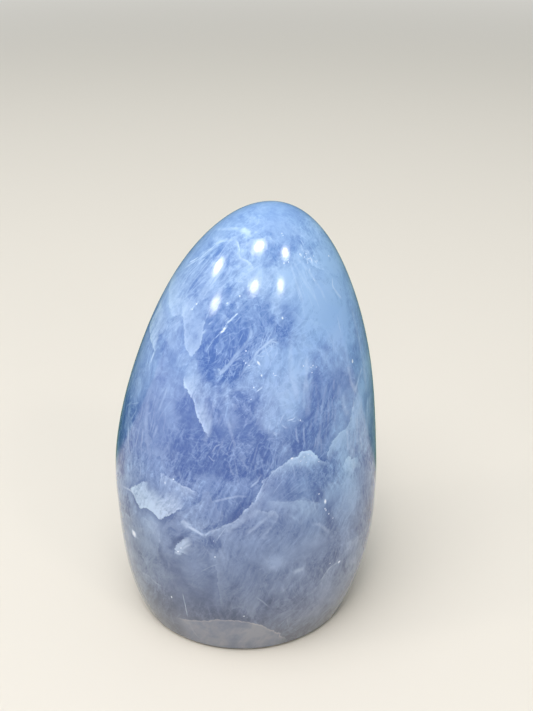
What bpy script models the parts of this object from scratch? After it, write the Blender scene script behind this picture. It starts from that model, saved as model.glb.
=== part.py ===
"""Polished blue calcite freeform: one tall, leaning, egg-like stone on a flat-cut base.

Metres, +Z up. The stone stands on z = 0, centred on the origin, and its broad face looks along -Y.
"""
import math

import bpy
import bmesh

MM = 0.001

# Driving dimensions of the stone, in millimetres
HEIGHT = 137.0
WIDTH = 82.0
DEPTH = 67.2
WIDEST_HEIGHT = 45.2

# The base is sawn flat, and its edge is rubbed round in the polishing
BASE_SHARE = 0.845
EDGE_ROUND = 1.5

# How full the outline is above and below the widest height: a higher number is fuller, then turns in faster.
# The softness eases the start of the upper stretch, so that the polish shows no crease at the widest height.
UPPER_FULLNESS = 1.67
UPPER_SOFTNESS = 0.08
LOWER_FULLNESS = 2.7

# The top leans to the right, and the centre line wanders a little lower down, as hand grinding leaves it
TOP_LEAN = 8.0
LEAN_FULLNESS = 2.2
WANDER = -0.55
WANDER_LENGTH = 65.0

# The cross-section is an oval that turns slightly towards the top and is fuller in front than behind:
# three soft lobes swell it, one of them straight ahead
TOP_TURN_DEG = 9.0
FRONT_SWELL = 0.012
SWELL_LOBES = 3

# Mesh fineness, and how sharp a bend has to be to show as an edge
SEGMENTS = 72
UPPER_RINGS = 26
LOWER_RINGS = 13
EDGE_RINGS = 4
SHARP_EDGE_DEG = 40.0

# Surface of the stone, as linear colour
STONE_COLOUR = (0.212, 0.319, 0.604, 1.0)
STONE_ROUGHNESS = 0.12
CALCITE_IOR = 1.6


def clear_scene():
    for old in list(bpy.data.objects):
        bpy.data.objects.remove(old, do_unlink=True)


def eased_power(rise):
    """Grows from 0 to 1 as rise ** UPPER_FULLNESS does, with a soft start."""
    softening = 1.0 - 0.5 * UPPER_FULLNESS
    soft_square = UPPER_SOFTNESS ** 2
    return rise ** 2 * ((1.0 + soft_square) / (rise ** 2 + soft_square)) ** softening


def girth_share(height):
    """Half-width at a height as a share of the half-width at the widest height."""
    if height >= WIDEST_HEIGHT:
        rise = (height - WIDEST_HEIGHT) / (HEIGHT - WIDEST_HEIGHT)
        return math.sqrt(max(0.0, 1.0 - eased_power(rise)))
    drop = (WIDEST_HEIGHT - height) / WIDEST_HEIGHT
    return 1.0 - (1.0 - BASE_SHARE) * drop ** LOWER_FULLNESS


def edge_inset(height):
    """How far the rounded base edge draws in: a quarter circle from the flat base up to the wall."""
    if height >= EDGE_ROUND:
        return 0.0
    return EDGE_ROUND - math.sqrt(EDGE_ROUND ** 2 - (EDGE_ROUND - height) ** 2)


def centre_shift(height):
    """Sideways place of a ring's centre."""
    rise = height / HEIGHT
    lean = TOP_LEAN * rise ** LEAN_FULLNESS
    wander = WANDER * math.cos(2 * math.pi * height / WANDER_LENGTH) * (1.0 - rise)
    return lean + wander


def ring_heights():
    """Heights of the rings from the base up, closer together where the outline turns."""
    heights = []
    for step in range(EDGE_RINGS):
        angle = 0.5 * math.pi * step / EDGE_RINGS
        heights.append(EDGE_ROUND * (1.0 - math.cos(angle)))
    for step in range(LOWER_RINGS):
        share = step / LOWER_RINGS
        heights.append(EDGE_ROUND + (WIDEST_HEIGHT - EDGE_ROUND) * share)
    for step in range(UPPER_RINGS):
        angle = 0.5 * math.pi * step / UPPER_RINGS
        heights.append(WIDEST_HEIGHT + (HEIGHT - WIDEST_HEIGHT) * math.sin(angle))
    return heights


def ring_points(height):
    """One oval ring, counter-clockwise seen from above, in millimetres."""
    half_width = 0.5 * WIDTH * girth_share(height) - edge_inset(height)
    half_depth = 0.5 * DEPTH * girth_share(height) - edge_inset(height)
    turn = math.radians(TOP_TURN_DEG) * (height / HEIGHT)
    points = []
    for segment in range(SEGMENTS):
        angle = 2 * math.pi * segment / SEGMENTS
        swell = 1.0 + FRONT_SWELL * math.sin(SWELL_LOBES * angle)
        across = half_width * swell * math.cos(angle)
        deep = half_depth * swell * math.sin(angle)
        x = across * math.cos(turn) - deep * math.sin(turn) + centre_shift(height)
        y = across * math.sin(turn) + deep * math.cos(turn)
        points.append((x, y, height))
    return points


def middle(values):
    return 0.5 * (min(values) + max(values))


def build_stone():
    rings = [ring_points(height) for height in ring_heights()]
    every_point = [point for ring in rings for point in ring]
    middle_x = middle([point[0] for point in every_point])
    middle_y = middle([point[1] for point in every_point])

    def placed(point):
        return ((point[0] - middle_x) * MM, (point[1] - middle_y) * MM, point[2] * MM)

    shape = bmesh.new()
    loops = [[shape.verts.new(placed(point)) for point in ring] for ring in rings]
    apex = shape.verts.new(placed((centre_shift(HEIGHT), 0.0, HEIGHT)))

    shape.faces.new(list(reversed(loops[0])))
    for lower, upper in zip(loops, loops[1:]):
        for segment in range(SEGMENTS):
            following = (segment + 1) % SEGMENTS
            shape.faces.new((lower[segment], lower[following], upper[following], upper[segment]))
    for segment in range(SEGMENTS):
        following = (segment + 1) % SEGMENTS
        shape.faces.new((loops[-1][segment], loops[-1][following], apex))

    mesh = bpy.data.meshes.new("blue_calcite")
    shape.to_mesh(mesh)
    shape.free()
    mesh.shade_smooth()
    mesh.set_sharp_from_angle(angle=math.radians(SHARP_EDGE_DEG))
    stone = bpy.data.objects.new("blue_calcite", mesh)
    bpy.context.scene.collection.objects.link(stone)
    return stone


def calcite_material():
    """Cloudy blue calcite with a wet-looking hand polish."""
    material = bpy.data.materials.new("polished_blue_calcite")
    material.use_nodes = True
    shader = material.node_tree.nodes["Principled BSDF"]
    shader.inputs["Base Color"].default_value = STONE_COLOUR
    shader.inputs["Roughness"].default_value = STONE_ROUGHNESS
    shader.inputs["Metallic"].default_value = 0.0
    shader.inputs["IOR"].default_value = CALCITE_IOR
    return material


def main():
    clear_scene()
    stone = build_stone()
    stone.data.materials.append(calcite_material())


main()
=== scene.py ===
import math
from functools import partial
import bpy
import numpy as np
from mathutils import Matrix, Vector
from mathutils.bvhtree import BVHTree


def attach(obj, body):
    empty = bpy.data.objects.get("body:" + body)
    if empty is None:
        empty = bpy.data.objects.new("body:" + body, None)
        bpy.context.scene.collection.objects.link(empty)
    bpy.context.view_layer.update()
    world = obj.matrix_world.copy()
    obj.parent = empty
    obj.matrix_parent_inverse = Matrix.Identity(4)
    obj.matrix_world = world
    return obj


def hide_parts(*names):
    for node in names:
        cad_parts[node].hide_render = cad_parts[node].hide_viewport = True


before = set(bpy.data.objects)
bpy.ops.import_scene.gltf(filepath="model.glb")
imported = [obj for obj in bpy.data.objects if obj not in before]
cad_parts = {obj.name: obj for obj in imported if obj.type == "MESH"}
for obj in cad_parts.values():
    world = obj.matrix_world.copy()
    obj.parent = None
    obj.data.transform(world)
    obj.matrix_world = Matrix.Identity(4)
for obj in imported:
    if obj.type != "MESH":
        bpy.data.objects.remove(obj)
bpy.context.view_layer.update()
print("frame loaded")

mm = 0.001


def addNode(tree, kind, *values, out=0, named=None, **settings):
    # a kind in capitals is the operation of a Math node; a shader node's kind is given without its prefix
    prefix = "" if kind.startswith("GeometryNode") else "ShaderNode"
    node = tree.nodes.new("ShaderNodeMath" if kind.isupper() else prefix + kind)
    if kind.isupper():
        node.operation = kind
    for name, value in settings.items():
        setattr(node, name, value)
    for key, value in [*enumerate(values), *(named or {}).items()]:
        if isinstance(value, bpy.types.NodeSocket):
            tree.links.new(value, node.inputs[key])
        else:
            node.inputs[key].default_value = value
    return node.outputs if out is None else node.outputs[out]


def fromHex(text, alpha=1.0):
    channels = [int(text[i:i + 2], 16) / 255 for i in (1, 3, 5)]
    linear = [c / 12.92 if c <= 0.04045 else ((c + 0.055) / 1.055) ** 2.4 for c in channels]
    return (*linear, alpha)


# The camera stands as the photographer did: a hand's breadth above the stone, looking down
view = {
    "frameWidth": 533,
    "frameHeight": 711,
    "focalPixels": 900.0,
    "eye": (0.0063, -0.2285, 0.2203),
    "lookDownDeg": 29.6,
    "sensorMm": 36.0,
    "nearest": 0.01,
}


def makeCamera():
    camera = bpy.data.objects.new("camera", bpy.data.cameras.new("camera"))
    camera.data.sensor_width = view["sensorMm"]
    camera.data.lens = view["focalPixels"] * view["sensorMm"] / view["frameHeight"]
    camera.data.clip_start = view["nearest"]
    camera.location = view["eye"]
    camera.rotation_euler = (math.radians(90 - view["lookDownDeg"]), 0, 0)
    bpy.context.scene.collection.objects.link(camera)
    bpy.context.scene.camera = camera


def pixelRay(x, y):
    # the direction from the eye through a pixel of the 533 by 711 frame
    down = math.radians(view["lookDownDeg"])
    ahead = Vector((0, math.cos(down), -math.sin(down)))
    up = Vector((0, math.sin(down), math.cos(down)))
    right = Vector((1, 0, 0))
    sideways = (x - view["frameWidth"] / 2) / view["focalPixels"]
    upward = (view["frameHeight"] / 2 - y) / view["focalPixels"]
    return (ahead + right * sideways + up * upward).normalized()


makeCamera()

# The stone's shape, in millimetres: the same rule and the same sizes as the solid
stone = {
    "Height": 137.0,
    "Width": 82.0,
    "Depth": 67.2,
    "Widest Height": 45.2,
    "Base Share": 0.845,
    "Edge Round": 1.5,
    "Upper Fullness": 1.67,
    "Upper Softness": 0.08,
    "Lower Fullness": 2.7,
    "Top Lean": 8.0,
    "Lean Fullness": 2.2,
    "Wander": -0.55,
    "Wander Length": 65.0,
    "Top Turn": math.radians(9.0),
    "Front Swell": 0.012,
    "Polish Wave": 0.07,
    "Seed": 4.0,
}
# how fine its mesh is, and the shares of the rings at which base, rounded edge and wall end
fineness = {"segments": 340, "rings": 280, "base": 0.08, "edge": 0.105, "wall": 0.36, "mergeMm": 0.002}
# the wheels' waves: how long they are, and the heights between which they set in, up to their full size
polishing = {"waveMm": 22, "setsInMm": (1, 8), "fullMm": 2}


def stoneTree(material):
    tree = bpy.data.node_groups.new("groundAndPolishedFreeform", "GeometryNodeTree")
    tree.interface.new_socket("Geometry", in_out="INPUT", socket_type="NodeSocketGeometry")
    for name, value in stone.items():
        tree.interface.new_socket(name, in_out="INPUT", socket_type="NodeSocketFloat").default_value = value
    tree.interface.new_socket("Geometry", in_out="OUTPUT", socket_type="NodeSocketGeometry")
    given = tree.nodes.new("NodeGroupInput").outputs
    add = partial(addNode, tree)

    # a sheet of squares, whose x becomes the way round the stone and y the way up it
    sheet = add("GeometryNodeMeshGrid", 1, 1, fineness["segments"] + 1, fineness["rings"] + 1)
    sideways, upward, unused = add("SeparateXYZ", add("GeometryNodeInputPosition"), out=None)
    along = add("ADD", upward, 0.5)
    angle = add("MULTIPLY_ADD", sideways, 2 * math.pi, math.pi)

    # four stretches from the middle of the base to the tip: base, rounded edge, wall, crown
    disc = add("MapRange", along, 0, fineness["base"], 0, 1)
    edge = add("MapRange", along, fineness["base"], fineness["edge"], 0, math.pi / 2)
    wall = add("MapRange", along, fineness["edge"], fineness["wall"], 0, 1)
    crown = add("MapRange", along, fineness["wall"], 1, 0, math.pi / 2)

    edgeRound = given["Edge Round"]
    edgeCos = add("COSINE", edge)
    edgeSin = add("SINE", edge)
    edgeLow = add("SUBTRACT", 1, edgeCos)
    edgeIn = add("SUBTRACT", 1, edgeSin)
    edgeHeight = add("MULTIPLY", edgeRound, edgeLow)
    inset = add("MULTIPLY", edgeRound, edgeIn)
    wallTall = add("SUBTRACT", given["Widest Height"], edgeRound)
    crownTall = add("SUBTRACT", given["Height"], given["Widest Height"])
    crownSin = add("SINE", crown)
    height = add("MULTIPLY_ADD", wall, wallTall, edgeHeight)
    height = add("MULTIPLY_ADD", crownSin, crownTall, height)

    # girth above the widest height
    rise2 = add("POWER", crownSin, 2)
    soft2 = add("POWER", given["Upper Softness"], 2)
    over = add("ADD", 1, soft2)
    under = add("ADD", rise2, soft2)
    ratio = add("DIVIDE", over, under)
    softening = add("MULTIPLY_ADD", given["Upper Fullness"], -0.5, 1)
    eased = add("POWER", ratio, softening)
    eased = add("MULTIPLY", rise2, eased)
    left = add("SUBTRACT", 1, eased, use_clamp=True)
    upper = add("SQRT", left)

    # girth below it
    drop = add("SUBTRACT", given["Widest Height"], height)
    drop = add("DIVIDE", drop, given["Widest Height"], use_clamp=True)
    drop = add("POWER", drop, given["Lower Fullness"])
    narrowing = add("SUBTRACT", given["Base Share"], 1)
    lower = add("MULTIPLY_ADD", drop, narrowing, 1)
    girth = add("MULTIPLY", upper, lower)

    # the oval ring: half-width and half-depth, a fuller front, and a slow turn towards the top
    halfGirth = add("MULTIPLY", girth, 0.5)
    halfWidth = add("MULTIPLY", given["Width"], halfGirth)
    halfWidth = add("SUBTRACT", halfWidth, inset)
    halfDepth = add("MULTIPLY", given["Depth"], halfGirth)
    halfDepth = add("SUBTRACT", halfDepth, inset)
    lobes = add("MULTIPLY", angle, 3)
    lobes = add("SINE", lobes)
    swell = add("MULTIPLY_ADD", given["Front Swell"], lobes, 1)
    swell = add("MULTIPLY", swell, disc)
    cosine = add("COSINE", angle)
    sine = add("SINE", angle)
    across = add("MULTIPLY", halfWidth, cosine)
    across = add("MULTIPLY", across, swell)
    deep = add("MULTIPLY", halfDepth, sine)
    deep = add("MULTIPLY", deep, swell)
    riseShare = add("DIVIDE", height, given["Height"])
    turn = add("MULTIPLY", riseShare, given["Top Turn"])
    flat = add("CombineXYZ", across, deep, height)
    turned = add("VectorRotate", named={"Vector": flat, "Angle": turn}, rotation_type="Z_AXIS")

    # the leaning, wandering centre line
    lean = add("POWER", riseShare, given["Lean Fullness"])
    lean = add("MULTIPLY", lean, given["Top Lean"])
    phase = add("DIVIDE", height, given["Wander Length"])
    phase = add("MULTIPLY", phase, 2 * math.pi)
    wave = add("COSINE", phase)
    fading = add("SUBTRACT", 1, riseShare)
    wander = add("MULTIPLY", wave, fading)
    shift = add("MULTIPLY_ADD", wander, given["Wander"], lean)
    shift = add("CombineXYZ", shift, 0, 0)
    placed = add("VectorMath", turned, shift, operation="ADD")
    metres = add("VectorMath", placed, named={"Scale": mm}, operation="SCALE")
    body = add("GeometryNodeSetPosition", sheet, named={"Position": metres})
    body = add("GeometryNodeMergeByDistance", body, named={"Distance": fineness["mergeMm"] * mm})

    # the middle of its box goes over the origin, as in the solid
    box = add("GeometryNodeBoundBox", body, out=None)
    middle = add("VectorMath", box["Min"], box["Max"], operation="ADD")
    middle = add("VectorMath", middle, (-0.5, -0.5, 0.0), operation="MULTIPLY")
    body = add("GeometryNodeSetPosition", body, named={"Offset": middle})

    # polishing wheels leave waves too low to see except in what the stone mirrors; the sawn base has none
    spot = add("GeometryNodeInputPosition")
    ripples = add("TexNoise", spot, given["Seed"], named={"Scale": 1 / (polishing["waveMm"] * mm), "Detail": 1},
                  noise_dimensions="4D")
    ripples = add("SUBTRACT", ripples, 0.5)
    aboveBase = add("SeparateXYZ", spot, out=2)
    setsIn = [level * mm for level in polishing["setsInMm"]]
    aboveBase = add("MapRange", aboveBase, *setsIn, 0, polishing["fullMm"] * mm)
    ripples = add("MULTIPLY", ripples, aboveBase)
    ripples = add("MULTIPLY", ripples, given["Polish Wave"])
    normal = add("GeometryNodeInputNormal")
    push = add("VectorMath", normal, named={"Scale": ripples}, operation="SCALE")
    body = add("GeometryNodeSetPosition", body, named={"Offset": push})
    body = add("GeometryNodeSetShadeSmooth", body)
    body = add("GeometryNodeRealizeInstances", body)
    body = add("GeometryNodeSetMaterial", body, named={"Material": material})
    tree.links.new(body, tree.nodes.new("NodeGroupOutput").inputs[0])
    return tree


def makeStone(material):
    piece = bpy.data.objects.new("blueCalcite", bpy.data.meshes.new("blueCalcite"))
    bpy.context.scene.collection.objects.link(piece)
    modifier = piece.modifiers.new("shape", "NODES")
    tree = stoneTree(material)
    modifier.node_group = tree
    for item in tree.interface.items_tree:
        if item.in_out == "INPUT" and item.name in stone:
            modifier[item.identifier] = stone[item.name]
    evaluated = piece.evaluated_get(bpy.context.evaluated_depsgraph_get())
    mesh = bpy.data.meshes.new_from_object(evaluated)
    piece.modifiers.remove(modifier)
    piece.data = mesh
    mesh.name = "blueCalcite"
    return piece


# Marks in view are placed by the pixel that shows them, carried to the stone by a ray from the camera. All marks are
# drawn on the stone unrolled to (way round from the front, height), both in mm.
unrolling = {"radius": 37, "axisLean": 8, "leanFullness": 2.2, "height": 137, "middle": (251, 430), "triedSteps": 60}


def unrolled(points):
    points = np.atleast_2d(points) / mm
    lean = unrolling["axisLean"] * np.clip(points[:, 2] / unrolling["height"], 0, 1) ** unrolling["leanFullness"]
    angle = np.arctan2(points[:, 0] - lean, -points[:, 1])
    return np.stack([angle * unrolling["radius"], points[:, 2]], 1)


def onStone(x, y):
    # the place that a pixel shows; one that misses the stone is moved towards its middle until it meets it
    for step in range(unrolling["triedSteps"]):
        share = step / unrolling["triedSteps"]
        x2 = x + (unrolling["middle"][0] - x) * share
        y2 = y + (unrolling["middle"][1] - y) * share
        place = skin.ray_cast(eye, pixelRay(x2, y2))[0]
        if place is not None:
            return place


def unrolledPixels(pixels):
    return np.array([unrolled(onStone(*pixel))[0] for pixel in pixels])


def nearRound(way, middle):
    # the same way round, counted so that the seam behind the stone is never between it and the mark
    turn = 2 * math.pi * unrolling["radius"]
    return middle + (way - middle + turn / 2) % turn - turn / 2


def distanceToLine(flat, line):
    # distance in mm to a line of points, the side of it, and the share of the way along it
    best = np.full(len(flat), 1e9)
    side, share = np.zeros(len(flat)), np.zeros(len(flat))
    steps = np.linalg.norm(np.diff(line, axis=0), axis=1)
    before = np.concatenate([[0], np.cumsum(steps)])
    for start, end, step, past in zip(line, line[1:], steps, before):
        run = end - start
        t = np.clip(((flat - start) @ run) / max(run @ run, 1e-9), 0, 1)
        off = flat - start - t[:, None] * run
        away = np.linalg.norm(off, axis=1)
        closer = away < best
        best = np.where(closer, away, best)
        side = np.where(closer, np.sign(run[0] * off[:, 1] - run[1] * off[:, 0]), side)
        share = np.where(closer, (past + t * step) / before[-1], share)
    return best, side, share


def isInside(flat, outline):
    inside = np.zeros(len(flat), bool)
    for (ax, ay), (bx, by) in zip(outline, np.roll(outline, -1, 0)):
        crosses = (ay > flat[:, 1]) != (by > flat[:, 1])
        inside ^= crosses & (flat[:, 0] < ax + (flat[:, 1] - ay) / (by - ay if by != ay else 1e-9) * (bx - ax))
    return inside


def eased(low, high, value):
    t = np.clip((value - low) / (high - low), 0, 1)
    return t * t * (3 - 2 * t)


def placeMark(layers, near, *values):
    # a mark goes to the first layer where it lies over no other, or else to the last and over what is weaker there
    values = np.stack(values, 1)
    strength = values[:, 1]
    for layer in layers:
        if not np.any((layer[near, 1] > 0.01) & (strength > 0.01)):
            break
    takes = strength > layer[near, 1]
    layer[np.flatnonzero(near)[takes]] = values[takes]


# What lies in the stone. A place is a pixel of the frame, or (way round, height) where it says so. Lengths, widths
# and radii are in mm.
marks = {
    "veilLayers": 5,
    "lineLayers": 8,
    # veils from the deepest to the nearest: crisp edge, soft rest of the outline, how fast the veil thins out (two
    # lengths), width of its soft side, strength, and brightness of its edge
    "veils": [
        ([(178, 266), (173.4, 274.6), (169, 289), (169, 307), (173.4, 317.5), (180.5, 314.5), (182, 321)], [(190, 318),
         (206, 300), (216, 270), (222, 246), (200, 256)], (3, 14), 4, 0.34, 0.7),  # high on the left
        ([(236.5, 237), (237.5, 241.7), (238.9, 245.8), (239.7, 250), (238.7, 255), (240.3, 258), (245, 259.7),
         (250, 262.5), (253, 266.3), (258, 271)], [(250, 280), (238, 268), (230, 254), (231, 240)], (1.2, 5), 4, 0.5,
         1.2),  # pale plume at the crown
        ([(326, 271.5), (318, 268.6), (309, 262.7), (302, 257), (296, 251.5)], [(309, 253), (320, 256), (330, 262)],
         (2.5, 7), 2.5, 0.55, 0.6),  # spray right of the crown
        ([(161, 520), (160.4, 527), (159.6, 540), (158.8, 553), (161, 566)], [(148, 582), (128, 560), (121, 520),
         (133, 506), (148, 508)], (6, 20), 7, 0.2, 0.2),  # low left sheet
        ([(262, 503), (276, 500), (290, 501), (305, 500.5), (318, 502.5), (326, 505)], [(322, 522), (300, 531),
         (270, 526), (257, 513)], (5, 12), 5, 0.3, 0.2),  # band inside the crest
        ([(248, 511), (260, 509), (267, 512), (277, 511), (280, 517), (274, 525.6), (268.5, 531.5), (264, 541.8),
         (258, 544)], [(244, 545), (236, 530), (240, 518)], (2.5, 8), 5, 0.26, 0.5),
        ([(338.6, 563), (333, 565.5), (329, 568), (325, 575), (320.5, 582), (314, 589), (304, 597)], [(330, 622),
         (365, 585), (368, 540), (350, 548)], (5, 16), 6, 0.3, 0.3),  # low right
        ([(213.7, 553), (215, 563), (217, 577), (218.4, 588), (221, 605), (222, 616)], [(262, 618), (262, 560),
         (235, 548)], (4, 14), 9, 0.22, 0.4),  # low centre
        ([(133, 560), (142.5, 571.7), (150, 577), (157.3, 584.6), (164.7, 590)], [(176, 606), (160, 612), (140, 590)],
         (3, 10), 6, 0.22, 0.6),  # low left
        ([(339.7, 469.7), (344.4, 461.6), (348.5, 454.9), (351.2, 458.9), (355.2, 456.2), (359.3, 457.6)], [(361, 472),
         (354, 488), (341, 488)], (4, 9), 4, 0.8, 0.4),  # bright wedge
        ([(156, 355), (150, 337), (148, 322), (155, 308), (163, 297)], [(166, 306), (161, 330)], (6, 12), 2, 0.95,
         0.3),  # left margin, high
        ([(160.8, 489), (160.4, 471), (165, 474), (173, 479), (179.7, 483), (187.8, 487), (195.9, 492), (203, 496.5)],
         [(194, 504), (180, 506), (166, 500)], (4, 8), 4, 0.55, 0.5),  # over the left patch
        # left patch
        ([(187, 503), (184.6, 505.6), (179.7, 509.7), (173.3, 513.7), (165, 517), (161, 520), (157, 517),
         (152.3, 512.5), (147, 508.5), (140, 508.5), (136, 501), (132.6, 494), (130.6, 488), (137, 484.4),
         (144, 481.4), (151, 482)], [(156, 484), (164, 484), (174, 486), (184, 496)], (9, 20), 6, 1.3, 0.2),
        ([(359, 389), (355.2, 398), (351.9, 410.3), (349.8, 421), (347, 427.8), (339, 431.9), (332, 441.4),
         (328.2, 449.5), (326.9, 455), (328.2, 459), (332, 463)], [(336, 484), (345, 530), (362, 530), (371, 480),
         (372, 410)], (6, 30), 5, 0.5, 0.45),  # right wedge
        ([(190, 555), (183, 553.6), (178, 552.4), (175, 550.4), (174, 548), (176.5, 545), (181.4, 541), (185.4, 537.4),
         (189.4, 534.8)], [(196, 539), (198, 550)], (4, 9), 4, 0.7, 0.45),  # fragment
        ([(181.4, 520.8), (188, 526), (194.3, 529.5), (204, 535.4), (210.4, 530.7), (221, 526.5), (230, 523.6),
         (238, 517), (245.4, 509.8), (254.6, 501.6), (258, 493), (262.8, 481), (270.9, 472.5), (282, 465), (289, 459),
         (293, 457.6), (299, 455.5), (301, 452), (306.6, 450.2), (312, 450), (316, 455), (321.5, 460.3), (327, 462.3),
         (333, 464.3)], [(345, 480), (350, 515), (330, 555), (285, 565), (240, 552), (212, 544), (194, 538)],
         (1.6, 11), 8, 0.5, 1),  # crest
        ([(284.7, 463.8), (289, 459), (293, 457.6), (299, 455.5), (301, 452), (306.6, 450.2), (312, 450), (316, 455),
         (320, 459.5)], [(315, 466), (303, 469), (288, 467)], (1.8, 3.4), 2, 1, 0.9),  # white top of the crest
        ([(184, 296), (182, 305), (181.8, 312), (183.4, 325), (184.2, 338.3), (185, 350), (188.3, 354.6),
         (192.3, 359.5), (194.5, 353), (199.5, 350), (203, 337), (205, 322), (206.5, 308)], [(207, 298), (196, 290)],
         (4, 12), 5, 0.5, 0.3),  # upper flake
        ([(186.4, 373.7), (183.2, 378), (184.4, 388), (187, 391), (191, 397), (194.5, 404), (196, 410), (198, 417),
         (201, 424), (203.6, 430), (208, 436), (211.5, 438.5)], [(214.7, 431), (213.5, 410), (215, 390), (211, 372),
         (199, 366)], (4, 10), 3.2, 0.8, 0.5),  # lower flake
    ],
    # the same on the sides that the camera doesn't see, by (way round, height)
    "farVeils": [
        ([(52, 96), (55, 88), (60, 82), (59, 74), (64, 66), (70, 61), (73, 52)], [(84, 56), (88, 78), (74, 98)],
         (5, 18), 6, 0.5, 0.5),  # right side
        ([(48, 34), (56, 38), (61, 36), (68, 41), (76, 39), (82, 44), (90, 43)], [(92, 26), (70, 16), (50, 20)],
         (4, 14), 7, 0.45, 0.6),
        ([(-60, 46), (-66, 52), (-71, 50), (-78, 58), (-84, 57), (-90, 66)], [(-96, 50), (-84, 30), (-64, 28)],
         (4, 16), 6, 0.5, 0.6),  # left side
        ([(-66, 100), (-70, 92), (-68, 84), (-74, 76), (-77, 70), (-82, 68)], [(-88, 80), (-82, 100)], (4, 12), 4, 0.5,
         0.4),
        ([(96, 78), (101, 74), (108, 76), (113, 70), (121, 69), (126, 62), (133, 60), (137, 52)], [(132, 36),
         (110, 32), (96, 48)], (3.5, 16), 8, 0.5, 0.7),  # back
        ([(118, 118), (114, 110), (116, 102), (111, 95), (113, 89)], [(124, 92), (130, 108)], (4, 12), 4, 0.5, 0.4),
    ],
    # the pale patch at the foot: edge, height that it goes down to, and the rest as for a veil
    "basePatch":
        ([(173, 616), (180, 618.4), (188, 619.6), (199, 620.6), (212, 620), (217, 619.2), (224, 620), (238, 620.4),
         (250, 622), (258, 624), (266, 626.6), (270, 630), (274, 629.6), (276, 633), (281, 632.6), (280, 636.4),
         (285, 636.6), (287, 640)], -8, (60, 60), 6, 1, 0.95),
    # cracks and threads: points, half-width, strength and, for some, the share of each end that thins out
    "lines": [
        ([(238.6, 312.4), (235.5, 315.6), (232.3, 318.6)], 0.2, 0.62),  # slanted cracks
        ([(232.6, 318), (230, 320.6), (226.8, 323)], 0.26, 0.66),
        ([(226.6, 326.9), (224, 328.7), (222.4, 330.6)], 0.32, 0.85),
        ([(224.4, 330), (221.5, 332), (219.4, 333.9)], 0.3, 0.85),
        ([(219.8, 333.4), (217, 336.4), (214.6, 339)], 0.14, 0.7),
        ([(213.5, 340.5), (209, 346.5), (205.5, 353)], 0.16, 0.25),
        ([(206, 329.6), (203.9, 331.9), (201.6, 333.8)], 0.3, 0.7),
        ([(212.2, 321.6), (210.2, 323.2), (208, 324.9)], 0.2, 0.5),
        ([(198.5, 301.8), (195.5, 305.5)], 0.25, 0.55),
        ([(193.5, 307.5), (190.5, 310.5)], 0.28, 0.5),
        ([(229.5, 302.5), (227, 305)], 0.3, 0.5),
        ([(239.5, 306), (236.5, 308.5)], 0.22, 0.4),
        ([(154, 352), (152.5, 357), (150.5, 363)], 0.34, 0.9),
        ([(182.4, 592), (185, 604), (188, 618)], 0.12, 0.55, 0.2),
        ([(188, 620), (194, 632), (200, 639)], 0.25, 0.25),
        ([(256.5, 391.5), (260, 389), (263.5, 386)], 0.17, 0.7),
        ([(287.7, 420.6), (291, 419.7), (293.5, 419), (295.6, 417)], 0.15, 0.62),
        ([(288.6, 422.6), (290.4, 422)], 0.16, 0.5),
        ([(181, 520.6), (184.6, 523.6), (189.4, 527.2)], 0.75, 0.45),
        ([(186, 525), (192, 528.6), (198, 532), (204.7, 535.6)], 0.42, 0.5),
        ([(204.4, 535.8), (208, 533), (212.5, 530)], 0.25, 0.45),
        ([(176, 549.5), (182, 545), (190, 538.5)], 0.5, 0.4),
        ([(174.5, 552), (178, 553.5), (182, 554.5)], 0.5, 0.5),
        ([(179, 551), (185, 547), (192, 543)], 0.3, 0.35),
        ([(122.5, 486), (128, 489), (134, 492)], 0.3, 0.35),
        ([(238.7, 238.7), (237.6, 241.7), (238.7, 245.8), (239.7, 250), (238.7, 255), (240.3, 258), (245, 259.7),
         (250, 262.5), (253, 266.3)], 0.16, 0.4),
        ([(215, 229), (226, 228.6), (236, 228.6), (241, 229.4)], 0.3, 0.25),
        ([(240, 228.6), (244, 230.4), (248, 233.2), (252, 236.8)], 0.42, 0.66, 0.3),
        ([(241, 231.4), (245, 233.4), (249.5, 236)], 0.3, 0.34, 0.3),
        ([(215, 243), (225.3, 240), (234, 240.6)], 0.3, 0.35),
        ([(176, 310), (181, 296), (192, 280), (206, 262), (219, 247)], 0.7, 0.2),
        ([(192, 308), (204, 290), (219, 268), (229, 254), (235, 245)], 0.8, 0.18),
        ([(183, 300), (190, 286), (204, 268), (214, 257)], 0.4, 0.25),
        ([(180, 290), (188, 276), (199, 264), (208, 255)], 0.35, 0.3),
        ([(200, 304), (209, 288), (222, 270), (228, 258)], 0.4, 0.2),
        ([(188, 272), (196, 265), (205, 258)], 0.25, 0.3),
        ([(332.6, 277.4), (332.4, 286), (337, 293.6), (341.5, 299.5)], 0.22, 0.4),
        ([(292, 258), (300, 274), (310, 290), (318, 302)], 0.5, 0.2),
        ([(290, 262), (296, 282), (304, 304)], 0.5, 0.18),
        ([(296, 256), (308, 270), (320, 288), (328, 304)], 0.5, 0.18),
        ([(182, 270), (185, 267.7), (192, 263), (199.9, 258.4), (206, 253), (211, 249.2), (217, 243), (224, 240.4),
         (232, 239.5)], 0.32, 0.4),
        ([(189, 262.5), (194, 260), (199, 256.5)], 0.24, 0.5),
        ([(332, 282), (334, 288), (338, 293.5), (342, 298.5)], 0.26, 0.35),
        ([(214, 378), (229.4, 364), (236, 354.5), (245.7, 344), (251.4, 334.4), (250.5, 323)], 0.4, 0.3),
        ([(218, 376), (226, 369), (234, 360), (241, 352)], 0.3, 0.3),
        ([(238, 379), (246.7, 367), (252, 360), (258, 351.5), (262.5, 347.5), (270, 341), (277, 337)], 0.3, 0.38),
        ([(255.4, 362), (254.3, 357), (257, 351)], 0.3, 0.5),
        ([(220.5, 377), (221, 372), (217.5, 368)], 0.18, 0.35),
        ([(205, 444), (209, 424), (214, 404), (218, 384)], 0.6, 0.16),
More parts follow.
